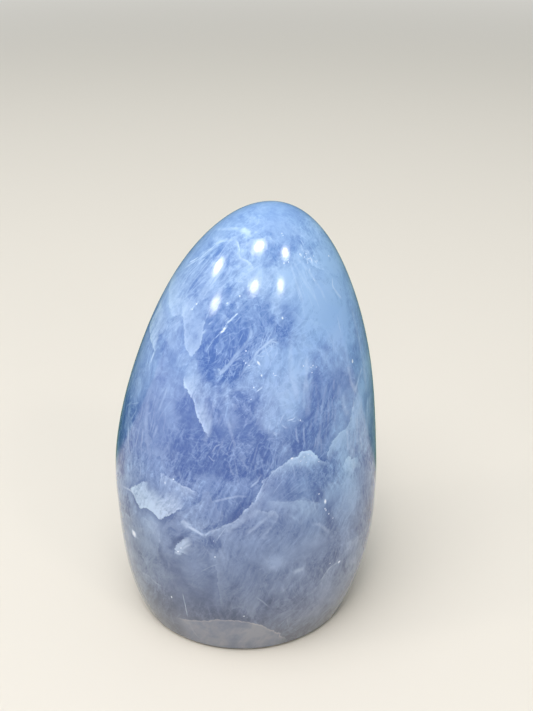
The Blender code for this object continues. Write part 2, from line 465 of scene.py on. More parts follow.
        ([(236, 251), (230, 266), (224, 282), (214, 304), (208, 320)], 1, 0.2),
        ([(291, 330), (290, 350), (291, 374), (299, 404)], 0.9, 0.16),
        ([(307, 352), (306, 380), (309, 402), (306, 420)], 0.7, 0.22),
        ([(349, 300), (357, 330), (364, 366), (367, 398)], 0.8, 0.2),
        ([(362, 366), (357, 384), (354, 396)], 0.4, 0.3),
        ([(368, 395), (367.5, 412), (368.5, 425)], 0.4, 0.3),
        ([(148, 400), (146, 420), (148, 446), (151, 462)], 0.7, 0.16),
        ([(129, 424), (128, 440), (130, 456)], 0.35, 0.3),
        ([(212, 452), (216, 446), (222, 444)], 0.2, 0.4),
        ([(208, 455), (213, 461), (216, 460)], 0.16, 0.35),
        ([(228, 420), (232, 436), (236, 450)], 0.4, 0.22),
        ([(262, 474), (257, 482), (250, 488)], 0.25, 0.35),
        ([(212, 502), (224, 499), (238, 496), (248, 497)], 0.3, 0.25),
        ([(223, 534), (236, 524), (249, 516), (262, 508)], 0.9, 0.2),
        ([(311, 524), (318.5, 524), (325, 528.5), (330, 534.4)], 0.45, 0.2),
        ([(245, 534), (253.8, 528.5), (262.6, 521), (274, 513.8)], 0.5, 0.2),
        ([(293, 573), (298, 570.5), (304.5, 568.5)], 0.7, 0.3),
        ([(379, 413), (380, 424), (379.6, 436)], 0.3, 0.2),
        ([(369.4, 395), (370, 410), (369.4, 416)], 0.3, 0.35),
        ([(374, 408), (375.5, 430), (375.6, 455)], 0.25, 0.3),
        ([(348, 364), (351, 382), (356, 393)], 0.6, 0.25),
        ([(343, 392), (344, 406), (348, 416)], 0.7, 0.25),
        ([(308, 366), (305, 382), (304, 398), (305, 412)], 0.5, 0.22),
        ([(296, 426), (296.5, 436), (299, 444)], 0.25, 0.2),
        ([(304, 424), (303.5, 434), (305, 446)], 0.25, 0.2),
        ([(347, 428), (347.5, 440), (348.5, 452)], 0.4, 0.25),
        ([(338.6, 562.4), (334, 564.5), (329.3, 568), (325, 574), (320, 582)], 0.26, 0.4),
        ([(142.5, 571.7), (149, 576), (155.5, 582.7), (163, 587)], 0.26, 0.3),
    ],
    # feathers, fans of thin barbs that leave a spine at a slant: spine, barbs, their length, slant in degrees,
    # half-width, strength and seed
    "feathers": [
        ([(226, 369), (236, 354.5), (245.7, 344), (251.4, 334.4)], 22, (1.6, 4.6), (28, 75), 0.12, (0.12, 0.32), 3),
        ([(240, 377), (252, 360), (262.5, 347.5), (272, 340)], 40, (1.6, 5.2), (20, 65), 0.12, (0.18, 0.42), 8),
        ([(262, 440), (281, 424), (296, 417)], 12, (1.6, 4), (30, 90), 0.14, (0.15, 0.35), 21),
    ],
    # beds of loose fibres: middle and radius, or None and the heights for the one that goes all round the stone, then
    # count, length, half-width, strength, leans in degrees, their spread, bend and seed
    "fibreBeds": [
        (None, (8, 122), 130, (2.5, 9), (0.12, 0.24), (0.08, 0.28), (22, -14, 48, 4), 14, 0.06, 17),
        ((246, 352), 8, 34, (1.5, 5), (0.1, 0.18), (0.1, 0.28), (35, 20, -25, 60, 80, -60), 12, 0.03, 41),
        ((218, 352), 9, 26, (1.5, 4.5), (0.1, 0.17), (0.12, 0.3), (5, -12, 25, 62), 9, 0.02, 12),
        ((270, 346), 4, 14, (1.5, 4), (0.1, 0.18), (0.15, 0.38), (35, 70, -20, 0), 15, 0.03, 43),
        ((235, 455), 10, 12, (3, 8), (0.12, 0.26), (0.05, 0.14), (30, -30, 5, 60), 15, 0.02, 47),
        ((192, 284), 8, 16, (5, 13), (0.12, 0.3), (0.12, 0.3), (34,), 8, 0.08, 53),
        ((325, 408), 9, 18, (4, 12), (0.25, 0.6), (0.06, 0.16), (8,), 7, 0.05, 59),
        ((358, 440), 8, 14, (5, 14), (0.15, 0.4), (0.12, 0.28), (3,), 5, 0.05, 61),
        ((152, 410), 10, 12, (5, 12), (0.15, 0.4), (0.08, 0.2), (10,), 8, 0.06, 67),
        ((308, 256.5), 4.5, 26, (0.8, 2), (0.16, 0.3), (0.3, 0.7), (60, -60, 0), 20, 0.05, 73),
        ((306, 285), 7, 12, (4, 10), (0.12, 0.3), (0.12, 0.26), (-28,), 8, 0.06, 71),
    ],
    # soft pale clouds (+) and clear deep places (-): x, y, radius and strength. The pale clouds at (251, 275), (282,
    # 272), (284, 277) and (281, 297) are painted glow round the lower highlights.
    "clouds": [
        (245, 232, 2.4, 0.15), (290, 232, 4, 0.1), (238, 268, 5, -0.25), (206, 262, 5, -0.25), (300, 250, 4, -0.15),
        (274, 257, 4, -0.4), (314, 256, 5, 0.25), (326, 252, 5, 0.45), (335, 262, 5, 0.25), (251, 275, 3.2, 0.5),
        (268, 292, 3.5, -0.4), (290, 265, 3, 0.2), (282, 272, 3, 0.35), (284, 277, 4, 0.6), (310, 285, 7, 0.3),
        (219, 271, 2.6, 0.3), (281, 297, 2.4, 0.35), (241, 295, 2.6, -0.2), (302, 246, 3, -0.2), (192, 300, 4, -0.2),
        (236, 304, 4.5, -0.25), (258, 300, 4, 0.2), (310, 310, 6, 0.12), (315, 294.3, 1.8, 0.6), (318, 301, 1.6, 0.25),
        (337, 297, 8.7, 0.71), (192, 330, 5, -0.2), (258, 322, 5, 0.2), (324, 326, 6, 0.32), (148, 344, 4, 0.12),
        (224, 359, 5.8, -0.52), (243, 346, 3, -0.4), (256, 360, 4.5, 0.35), (258, 344, 4, -0.3), (280, 344, 4, 0.3),
        (326, 347, 4.2, -0.35), (345, 338, 5.6, 0.56), (191, 366, 4, 0.3), (212, 368, 3.2, -0.3), (234, 366, 3, -0.5),
        (237, 366, 4, -0.3), (266, 380, 4, 0.15), (300, 367, 5, 0.35), (324, 372, 5, 0.12), (354, 382, 2.8, -0.4),
        (366, 366, 5, 0.25), (368, 376, 6, 0.4), (133, 412, 3, -0.25), (148, 410, 8, -0.2), (191, 412, 3.6, -0.6),
        (214, 406, 5, -0.45), (214, 389, 4, 0.15), (236, 410, 4, 0.12), (258, 398, 5, -0.2), (248, 409, 3.6, -0.25),
        (258, 390, 4, -0.15), (280, 392, 4, 0.2), (283, 402, 5.5, 0.35), (320, 400, 3, -0.25), (340, 408, 6, 0.1),
        # the deep place at (126, 435), by the left edge, is a painted reflection of the dark leaves the flank mirrors
        (346, 388, 4, 0.15), (350, 408, 5, 0.35), (126, 435, 5, -0.3), (236, 432, 4, 0.15), (268, 424, 3, 0.55),
        (285, 422, 3, 0.2), (302, 415, 5, 0.25), (324, 436, 4, -0.35), (368, 415, 4, 0.3), (192, 454, 5, -0.3),
        (201, 450, 6.7, -0.65), (221, 457, 8.3, -0.92), (236, 454, 4, -0.12), (245, 440, 12, -0.12),
        (247, 454, 7, -1.11), (280, 454, 4, 0.15), (300, 440, 4.5, -0.45), (369, 456, 4, -0.55), (128, 479, 4.6, 0.51),
        (150, 472, 4.8, 0.1), (156, 479, 3.4, -0.15), (178, 467, 4, -0.15), (214, 478, 5, 0.3), (225, 478, 5, 0.12),
        (280, 477, 4, -0.4), (227, 500, 5, -0.22), (252, 500, 5, -0.22), (298, 482, 4, 0.25), (319, 480, 3.6, -0.6),
        (346, 478, 5.7, 0.61), (236, 492, 5, 0.15), (268, 512, 7, -0.2), (278, 492, 8, -0.15), (283, 500, 4.7, -0.28),
        (346, 490, 5, 0.05), (322, 474, 5, -0.15), (324, 462, 3, -0.15), (366, 482, 4, -0.15), (280, 322, 5, -0.12),
        (350, 500, 5.5, 0.3), (149, 523, 5.8, 0.48), (172, 530, 4.5, -0.1), (175, 520, 5, 0.25), (192, 516, 3, 0.25),
        (205, 532, 3.5, -0.15), (226, 535, 7, -0.1), (238, 526, 4, -0.25), (248, 522, 6, -0.35), (302, 520, 4, -0.12),
        (326, 526, 3.6, -0.45), (342, 522, 7.3, 0.5), (172, 562, 4.5, -0.35), (172, 544, 5, 0.25),
        (214, 542, 3.5, -0.15), (250, 542, 5, 0.15), (276, 562, 3, 0.4), (285, 545, 5, -0.2), (306, 544, 6.8, 0.41),
        (346, 545, 5, 0.2), (355, 540, 6, 0.2), (150, 586, 5, -0.3), (196, 586, 5, -0.12), (214, 565, 4, -0.3),
        (225, 553, 8, 0.15), (192, 567, 4, 0.15), (280, 556, 5, 0.15), (232, 578, 5.5, 0.1), (247, 586, 7, -0.15),
        (275, 564, 2.4, 0.3), (299, 571, 3.2, 0.4), (338, 563, 1.8, 0.4), (167, 607, 5.7, -0.52),
        (198, 600, 4.5, -0.2), (275, 604, 5, -0.25), (315, 592, 7, 0.4), (330, 595, 7, 0.15), (198, 468, 4, 0.25),
        (165, 468, 3, 0.15), (194, 500, 3, 0.25), (196, 545, 4, 0.2), (180, 519, 4, -0.25), (144, 532, 3.4, -0.2),
        (158, 491, 3.4, 0.35), (187, 529, 3, 0.3), (205, 545, 3.4, -0.3), (205, 530, 2.6, 0.3), (184, 544, 2.6, -0.35),
        (186, 490, 3.4, -0.35), (180, 632, 4, -0.7), (165, 620, 4, -0.3), (200, 634, 3, -0.3), (219, 273, 2.6, 0.15),
        (258, 254, 3, 0.2), (160, 420, 8, 0.2), (214, 330, 5, 0.12), (222, 436, 5, 0.15), (236, 480, 5, 0.2),
        (160, 478, 5, 0.15), (282, 450, 4, 0.2), (324, 498, 2.6, 0.12), (170, 432, 5, -0.15), (212, 520, 4, -0.15),
        (214, 544, 3, -0.15), (346, 350, 5, 0.15), (350, 372, 5, 0.15), (316, 388, 5, 0.1), (280, 588, 4, 0.2),
        (256, 608, 4, 0.2), (258, 630, 3, -0.3), (304, 434, 3.4, 0.2), (150, 516, 4, 0.2), (168, 549, 3, 0.15),
        (225, 434, 6, 0.25), (238, 476, 5, 0.25), (256, 474, 4, 0.12), (170, 456, 4, 0.2), (346, 502, 7, 0.25),
        (280, 542, 4, 0.2), (324, 588, 4, 0.25), (302, 618, 5, 0.25), (200, 629, 5, -0.35), (301, 474, 4, -0.35),
        (215, 613, 4, -0.25), (300, 630, 4, -0.25),
    ],
    # the same as strokes: points, half-width and strength
    "plumes": [
        ([(192, 288), (200, 270), (209, 259), (220, 250)], 2.4, -0.38),  # dark arch at the shoulder
        ([(292, 238), (296, 246), (291, 260), (283, 268)], 2.2, -0.25),
        ([(266, 248), (274, 252), (276, 258), (270, 265)], 2.4, -0.15),
        ([(246, 243), (245, 250), (250, 257), (258, 262)], 1.6, -0.15),
        ([(240, 254), (243, 270), (241, 288), (238, 300)], 2.2, 0.18),  # pale plumes between the highlights
        ([(258, 262), (262, 276), (264, 296)], 2, 0.25),
        ([(222, 262), (219, 274), (214, 290)], 1.8, 0.22),
        ([(229, 256), (226, 272), (228, 290)], 2.2, -0.3),
        ([(210, 318), (215, 330), (210, 342), (204, 352)], 2.6, -0.4),  # the deepest part
        ([(236, 322), (230, 334), (216, 350), (210, 364)], 3.6, -0.6),
        ([(246, 330), (242, 342), (232, 352)], 2.6, -0.5),
        ([(200, 372), (212, 374), (222, 380)], 2.2, -0.15),
        ([(262, 308), (270, 322), (276, 336)], 3.6, -0.5),
        ([(284, 304), (290, 322), (286, 336)], 2.6, -0.45),
        ([(250, 308), (254, 322)], 2.4, -0.25),
        ([(314, 362), (317, 384), (313, 406), (308, 424)], 2.6, -0.5),  # dark streaks in the right half
        ([(334, 384), (332, 402), (326, 420), (316, 436)], 3, -0.4),
        ([(304, 420), (300, 436), (303, 450)], 2.2, -0.4),
        ([(343, 372), (346, 392), (342, 408)], 2, -0.3),
        ([(320, 466), (321, 480), (319, 496)], 2.2, -0.7),
        ([(306, 476), (307, 486), (306, 498)], 1.1, 0.2),
        ([(170, 548), (178, 540), (187, 534)], 0.9, -0.35),
        ([(328, 506), (330, 520), (334, 532)], 1.6, -0.35),
        ([(186, 400), (190, 414), (190, 428)], 2, -0.3),
        ([(192, 430), (200, 446), (204, 462)], 2.4, -0.4),
        ([(216, 436), (220, 456), (228, 480)], 2.4, -0.25),
        ([(252, 432), (248, 450), (250, 472)], 2.6, -0.35),
        ([(166, 462), (180, 466), (190, 476)], 2, -0.35),
        ([(168, 516), (180, 524), (190, 536)], 2.4, -0.15),
        ([(172, 282), (169, 298), (172, 314)], 1.6, 0.5),  # pale streaks down the left
        ([(186, 308), (196, 322), (190, 334)], 2, 0.3),
        ([(170, 372), (168, 396), (172, 420)], 2.2, 0.2),
        # painted reflection: this dark streak down the left edge stands for the dark leaves that the flank mirrors
        ([(128, 398), (122, 424), (121, 452), (122, 470)], 2.4, -0.7),
        ([(160, 344), (170, 356), (176, 372)], 2.6, -0.2),
        ([(300, 258), (306, 280), (304, 304)], 3, 0.3),  # pale streaks down the right
        ([(324, 262), (334, 284), (344, 310)], 2, 0.2),
        ([(292, 352), (298, 376), (292, 400)], 2.4, 0.25),
        ([(272, 350), (258, 362), (246, 376)], 2.4, 0.25),
        ([(362, 388), (356, 412), (350, 436)], 2, 0.35),
        ([(258, 498), (280, 502), (306, 506)], 2.4, 0.3),  # pale bands inside the crest
        ([(276, 474), (292, 464), (306, 460)], 1.8, 0.3),
        ([(212, 552), (216, 580), (220, 612)], 1, 0.25),
        ([(258, 560), (246, 590), (244, 612)], 3, 0.1),
        ([(188, 606), (206, 612), (226, 615), (262, 618), (290, 622)], 1.8, -0.15),  # darker just above the patch
        ([(240, 378), (252, 386), (270, 384)], 2.6, 0.2),
        ([(228, 404), (236, 420), (232, 440)], 2.2, 0.15),
    ],
    # how lively the fine grain is: x, y, radius and what it adds to 1
    "livelyPlaces": [
        (260, 225, 16, 0.15), (216, 350, 7, 0.35), (318, 300, 10, 0.1), (235, 452, 12, 0.1), (155, 410, 12, -0.65),
        (150, 450, 8, -0.15), (165, 555, 13, -0.6), (235, 575, 15, -0.5), (175, 595, 9, -0.2), (300, 545, 14, -0.4),
        (340, 600, 10, -0.25), (290, 610, 9, -0.25), (290, 515, 9, -0.1), (360, 500, 6, -0.2),
    ],
    # white specks: x, y, length, width, and lean from upright in degrees
    "specks": [
        (258.6, 363.2, 1.5, 0.55, -35), (245.7, 363.2, 0.7, 0.35, 20), (261.5, 375.6, 0.7, 0.5, 0),
        (274.9, 375.6, 0.8, 0.25, 80), (273.5, 373.5, 0.9, 0.2, 5), (253.8, 387.6, 0.5, 0.4, 0),
        (282.5, 318.2, 0.7, 0.45, 0), (251, 399.5, 0.45, 0.3, 20), (352.2, 361.7, 1, 0.4, 5),
        (313, 365.7, 0.55, 0.4, 25), (328.8, 256, 0.6, 0.5, 0), (288, 259.5, 0.7, 0.3, 30), (319, 494, 0.6, 0.45, 80),
        (325.2, 501.5, 1.6, 0.9, -5), (326, 510, 0.7, 0.35, 0), (339, 562, 1.7, 1, 75), (171.6, 597, 1.1, 0.5, 5),
        (134.4, 533.8, 3, 2.8, -25), (165, 482.5, 0.7, 0.4, 30), (283, 235.5, 0.5, 0.3, 0), (288.5, 262, 0.7, 0.3, 0),
        (244, 616.2, 0.8, 0.5, 60), (303.5, 366, 0.4, 0.3, 0), (345, 407, 0.5, 0.25, 0), (300.5, 420.3, 0.5, 0.3, 0),
        (352.6, 361, 1.4, 0.5, 5), (275.5, 375.4, 1.2, 0.25, 85), (325, 508.7, 0.5, 0.4, 0),
        (328.8, 513.8, 0.5, 0.35, 20), (333, 518, 0.4, 0.4, 0), (284, 263, 0.5, 0.3, 20),
        (281.9, 233.3, 0.6, 0.35, 30), (300, 254, 0.8, 0.35, 70), (304.5, 257, 0.6, 0.35, 40),
        (309, 258.5, 0.8, 0.3, 60), (313.5, 256, 0.5, 0.3, 0), (317, 261, 0.6, 0.3, 50), (306, 253.5, 0.5, 0.3, 80),
        (178, 551.5, 0.8, 0.5, 50), (181, 548, 0.7, 0.4, 30), (165, 483.2, 0.7, 0.5, 0), (173.4, 479.2, 0.9, 0.45, 60),
        (311, 367.5, 0.4, 0.3, 0), (316.5, 367, 0.4, 0.25, 60), (312, 372.5, 0.4, 0.3, 0), (246, 351, 0.5, 0.3, 0),
        (244, 361, 0.5, 0.3, 30), (249, 365.5, 0.5, 0.3, 60), (196.6, 303.9, 0.5, 0.35, 30),
        (192.2, 309.4, 0.5, 0.35, 30), (227.2, 303.2, 0.9, 0.5, 60), (239.8, 296, 0.5, 0.4, 0),
        (213.5, 541, 0.5, 0.3, 0), (215, 557, 0.6, 0.3, 10), (292, 458.4, 0.9, 0.6, 70), (330, 563.5, 0.6, 0.4, 50),
        (304.2, 456.8, 1.1, 0.22, 35), (308.4, 454.2, 0.5, 0.3, 60), (311.9, 455.6, 1, 0.2, -25),
        (315.4, 457.2, 0.6, 0.22, -40), (309.1, 459.3, 0.8, 0.18, 30), (318.9, 461.6, 0.9, 0.2, -50),
        (300.8, 461.2, 1.2, 0.2, 45), (306.3, 462.4, 0.5, 0.2, 10),
    ],
}
# how far past its outline a mark is still drawn, in mm, the shares of a veil's two fades, and the share of each end of
# a line, barb or fibre that thins out
reach = {"aroundVeil": 6, "pastEdge": 4, "aroundLine": 1, "lineFadesBy": 1.6, "fadeShares": (0.55, 0.45),
         "lineEnds": 0.15, "barbEnds": 0.35, "fibreEnds": 0.3}
# how unlike each other the barbs of a feather are
barbs = {"points": 4, "alongSpine": (0.1, 0.9), "rootMm": 0.25, "straightens": 0.35, "widths": (0.8, 1.4)}


def drawVeil(layers, flat, edge, rest, fade, soft, strength, rim):
    # a veil is a healed crack: crisp along its edge, and fading away from it; x is the distance inside the edge in mm,
    # y how strong the veil is and z how bright its edge
    middle = edge[:, 0].mean()
    for points in (edge, rest):
        points[:, 0] = nearRound(points[:, 0], middle)
    here = np.stack([nearRound(flat[:, 0], middle), flat[:, 1]], 1)
    outline = np.concatenate([edge, rest])
    margin = reach["aroundVeil"]
    near = np.all((here > outline.min(0) - margin) & (here < outline.max(0) + margin), axis=1)
    here = here[near]
    inside = isInside(here, outline)
    toEdge = distanceToLine(here, edge)[0]
    toRest = distanceToLine(here, np.concatenate([edge[-1:], rest, edge[:1]]))[0]
    body = sum(share * np.exp(-toEdge / length) for share, length in zip(reach["fadeShares"], fade))
    strength = strength * body * eased(0, soft, toRest)
    strength = np.where(~inside & ((toEdge > reach["pastEdge"]) | (toRest < toEdge)), 0, strength)
    placeMark(layers, near, np.where(inside, toEdge, -toEdge), strength, np.full(len(here), rim))


def drawLine(layers, flat, points, width, strength, taper=reach["lineEnds"]):
    # a thin crack or fibre: x is the signed distance to it in mm, y its strength and z its half-width in mm
    middle = points[:, 0].mean()
    points[:, 0] = nearRound(points[:, 0], middle)
    here = np.stack([nearRound(flat[:, 0], middle), flat[:, 1]], 1)
    margin = reach["aroundLine"] + width
    near = np.all((here > points.min(0) - 2 * margin) & (here < points.max(0) + 2 * margin), axis=1)
    away, side, share = distanceToLine(here[near], points)
    ends = eased(0, taper, share) * eased(0, taper, 1 - share)
    strength = strength * ends * (1 - eased(margin, reach["lineFadesBy"] * margin, away))
    placeMark(layers, near, away * side, strength, np.full(len(away), width))


def featherBarbs(spine, count, lengths, slants, width, strengths, seed):
    rng = np.random.default_rng(seed)
    spine = unrolledPixels(spine)
    drawn = []
    for number in range(count):
        along = (number + rng.uniform(*barbs["alongSpine"])) / count * (len(spine) - 1)
        index = min(int(along), len(spine) - 2)
        run = spine[index + 1] - spine[index]
        root = spine[index] + run * (along - index) + rng.normal(0, barbs["rootMm"], 2)
        slant = math.radians(rng.uniform(*slants)) * rng.choice((-1, 1))
        heading = math.atan2(run[1], run[0]) + slant
        length = rng.uniform(*lengths)
        points = []
        for share in np.linspace(0, 1, barbs["points"]):
            bend = heading - slant * barbs["straightens"] * share
            points.append(root + np.array([math.cos(bend), math.sin(bend)]) * length * share)
        drawn.append((np.array(points), width * rng.uniform(*barbs["widths"]), rng.uniform(*strengths),
                      reach["barbEnds"]))
    return drawn


def strewnFibres(middle, spread, count, lengths, widths, strengths, leans, leanSpread, bends, seed):
    rng = np.random.default_rng(seed)
    middle = unrolledPixels([middle])[0] if middle else None
    fibres = []
    for number in range(count):
        if middle is None:
            root = np.array([rng.uniform(-math.pi, math.pi) * unrolling["radius"], rng.uniform(*spread)])
        else:
            root = middle + rng.normal(0, spread / 2, 2)
        lean = math.radians(rng.choice(leans) + rng.normal(0, leanSpread))
        bend = rng.normal(0, bends)
        length = rng.uniform(*lengths)
        points = []
        for step in range(5):
            turned = lean + bend * step
            points.append(root + np.array([math.sin(turned), math.cos(turned)]) * length * (step / 4 - 0.5))
        fibres.append((np.array(points), rng.uniform(*widths), rng.uniform(*strengths), reach["fibreEnds"]))
    return fibres


def drawMarks(piece):
    mesh = piece.data
    places = np.empty(len(mesh.vertices) * 3)
    mesh.vertices.foreach_get("co", places)
    places = places.reshape(-1, 3)
    flat = unrolled(places)

    def blank(count):
        return [np.zeros((len(flat), 3)) for number in range(count)]

    def store(name, values):
        kind, field = ("FLOAT_VECTOR", "vector") if values.ndim == 2 else ("FLOAT", "value")
        mesh.attributes.new(name, kind, "POINT").data.foreach_set(field, values.ravel())

    layers = {"veils": blank(marks["veilLayers"]), "lines": blank(marks["lineLayers"]), "basePatch": blank(1)}
    for edge, rest, *how in marks["veils"]:
        drawVeil(layers["veils"], flat, unrolledPixels(edge), unrolledPixels(rest), *how)
    for edge, rest, *how in marks["farVeils"]:
        drawVeil(layers["veils"], flat, np.array(edge, float), np.array(rest, float), *how)
    edge, foot, *how = marks["basePatch"]
    edge = unrolledPixels(edge)
    drawVeil(layers["basePatch"], flat, edge, np.array([(edge[-1][0], foot), (edge[0][0], foot)]), *how)

    strokes = [(unrolledPixels(points), *how) for points, *how in marks["lines"]]
    for feather in marks["feathers"]:
        strokes += featherBarbs(*feather)
    for bed in marks["fibreBeds"]:
        strokes += strewnFibres(*bed)
    for stroke in strokes:
        drawLine(layers["lines"], flat, *stroke)
    for name, drawn in layers.items():
        for number, layer in enumerate(drawn):
            store(f"{name}{number}", layer)

    def blots(values, spots):
        for x, y, radius, strength in spots:
            away = np.linalg.norm(places - np.array(onStone(x, y)), axis=1) / mm
            values += strength * np.exp(-(away / radius) ** 2)
        return values

    cloud = blots(np.zeros(len(flat)), marks["clouds"])
    for pixels, radius, strength in marks["plumes"]:
        cloud += strength * np.exp(-(distanceToLine(flat, unrolledPixels(pixels))[0] / radius) ** 2)
    store("cloud", cloud)
    store("liveliness", blots(np.ones(len(flat)), marks["livelyPlaces"]))


# The tones of the stone from its base to its tip: the clear blue, the pale cloud in it, and frost on a veil. They grow
# darker and greyer towards the base, partly the stone's own greyer foot and partly painted shade, as the light falls
# from above. The flank tones tint the right side and the left flank tone the left: a painted reflection of the green
# leaves behind the stone. The base patch tones are the dark and light of its mottling, and the last two entries are
# painted shade that darkens the lowest edge between two heights, where the stone stands.
tones = {
    "heights": (0, 0.12, 0.3, 0.5, 0.75, 1),
    "clear": ("#565A66", "#4B5670", "#364B7B", "#3A599D", "#5674B6", "#678BC1"),
    "pale": ("#7E828D", "#818BA6", "#8DA0C4", "#98B2DE", "#A3BEE7", "#A8C4E3"),
    "frost": ("#9A9DA5", "#A4AFC3", "#B9CAE5", "#C0D3F1", "#C3D9F6", "#C5DDF3"),
    "flankReflection": ("#FFFFFF", "#FFFFFF", "#FFFFFF", "#EFFFFF", "#E5F4FF", "#E8F4FF"),
    "flankReflectionMm": (0, 28),
    "leftFlankReflection": "#F7FFFB",
    "leftFlankReflectionMm": (-20, -38),
    "crack": "#EEF3FA",
    "basePatch": ("#777D90", "#93959F"),
    "patchRim": "#ADABB2",
    "contactShade": "#2E2A2C",
    "contactShadeMm": (0.4, 1.8),
}
# The grain of the stone. A pattern's "turn" is in degrees about x, y and z, it is "wide" mm wide and "long" times as
# long, and "whitens" is how far it moves the tone from clear (0) to pale (1).
grain = {
    "bentMm": (15, 7),  # how coarse and how far the coordinates are pushed about, so that no pattern runs straight
    "foldedMm": (26, 12),
    "regionMm": 15,  # three slow patterns say where each patchy one shows
    "regionRange": (0.42, 0.6, 0.15, 1),
    "brokenRange": (0.4, 0.62, 0.15, 1),
    "raggedMm": 2.6,
    "tornMm": 0.9,
    "brokenMm": 4,
    "cloudWhitens": 0.8,
    "white": 0.355,
    "leastWhite": (0.09, 0.25),  # and how softly it is reached
    "tornSteep": 2.2,  # how many mm inwards a torn veil's noise counts for, as a share of its width
    "tornEdgeMm": (-0.05, 0.3),
    # clouds: turn, long, wide, detail, roughness, whitens, and the region that it keeps to, if any
    "clouds": [
        ((0, 0, 0), 1.4, 24, 3, 0.5, 0.8, None), ((0, 18, 0), 2.2, 9, 3, 0.5, 0.85, None),
        ((20, 30, 0), 1.3, 4, 4, 0.6, 0.6, None), ((6, 22, 0), 13, 1.3, 4, 0.6, 1.3, 0),
        ((-8, 46, 20), 9, 1.3, 4, 0.6, 1.1, 1), ((8, -12, -20), 12, 1.4, 4, 0.6, 1.2, 2),
        ((30, 20, 0), 1.6, 0.8, 3, 0.65, 0.45, None),
    ],
    # needles, fine frost in several directions: turn, long, wide, how thick, and whitens
    "needles": [((5, 18, 0), 13 / 1.7, 1.7, 0.2, 0.3), ((-15, 44, 20), 11 / 1.9, 1.9, 0.19, 0.3),
                ((12, -30, -30), 12 / 2.1, 2.1, 0.18, 0.26), ((20, 78, 0), 10 / 2.4, 2.4, 0.17, 0.22)],
    # threads, where a noise passes its middle: turn, long, wide, how near to the middle, whitens, and shift
    "threads": [((5, 24, 10), 10, 1.9, 0.035, 0.24, (0.3, 0, 0)), ((-10, 55, 0), 9, 2.1, 0.035, 0.22, (0, 0.3, 0)),
                ((12, -28, 30), 10, 2, 0.035, 0.2, (0, 0, 0.3)), ((0, 95, -20), 7, 2.3, 0.03, 0.16, (0.3, 0.3, 0))],
    # torn veils, sheets that end in a ragged edge and thin out behind it: turn, long, wide, fade in mm, strength and
    # shift
    "tornVeils": [((10, 25, 0), 1.9, 21, 4, 0.26, (0.11, 0.02, 0.05)),
                  ((0, -35, 40), 1.6, 17, 3, 0.22, (0.31, 0.22, 0.15)),
                  ((20, 60, 10), 1.5, 26, 5, 0.22, (0.51, 0.12, 0.45))],
}
# How the placed marks look. Ranges in mm are measured inwards from a mark's edge.
marksLook = {
    "raggedness": (2, -1.55, 0.55),  # how strong, where its middle lies, and the share of the finer tear in it
    "veilRagged": 1.1, "veilEdgeMm": (-0.1, 0.3), "veilRimMm": (0.1, 1.1), "veilShadeMm": (-2.5, 0), "veilShade": 0.3,
    "veilGrain": (-1.6, 2, 1.6, 1.2),  # the least, and what middle cloud, wisps and fine grain add
    "patchRagged": 0.8, "patchEdgeMm": (-0.1, 0.25), "patchRimMm": (0.1, 0.8), "patchRimBroken": (0.6, 0.4),
    "patchGrain": (-2.45, 1.1, 2.2, 2.5),  # the least, and what wisps, middle cloud and small cloud add
    "lineWobble": (0.8, 0.03), "lineCore": (0.2, 1.9), "lineBroken": (0.6, 0.5),
    "speckRagged": 0.9, "speckCore": (0.3, 1.4), "speckStrength": 0.85,
    # how strongly marks frost and whiten, and how dark the painted shade at the foot gets
    "frosts": 1.5, "whitens": (0.45, 0.9), "whitest": 0.9, "darkestContactShade": 0.85,
}
# Calcite's IOR is 1.49 to 1.66; a hand polish leaves it nearly mirror smooth
polish = {"roughness": 0.07, "crackRoughness": 0.2, "grooveMm": 0.03, "ior": 1.6, "glowWeight": 0.15,
          "glowRadiusMm": (1, 1.2, 1.8), "sawnBaseMm": 0.25, "sawnRoughness": 0.4, "cleanBaseMm": 0.03}


def setRamp(ramp, places, hexes):
    elements = ramp.color_ramp.elements
    while len(elements) < len(places):
        elements.new(0.5)
    for element, place, tone in zip(elements, places, hexes):
        element.position = place
        element.color = fromHex(tone)


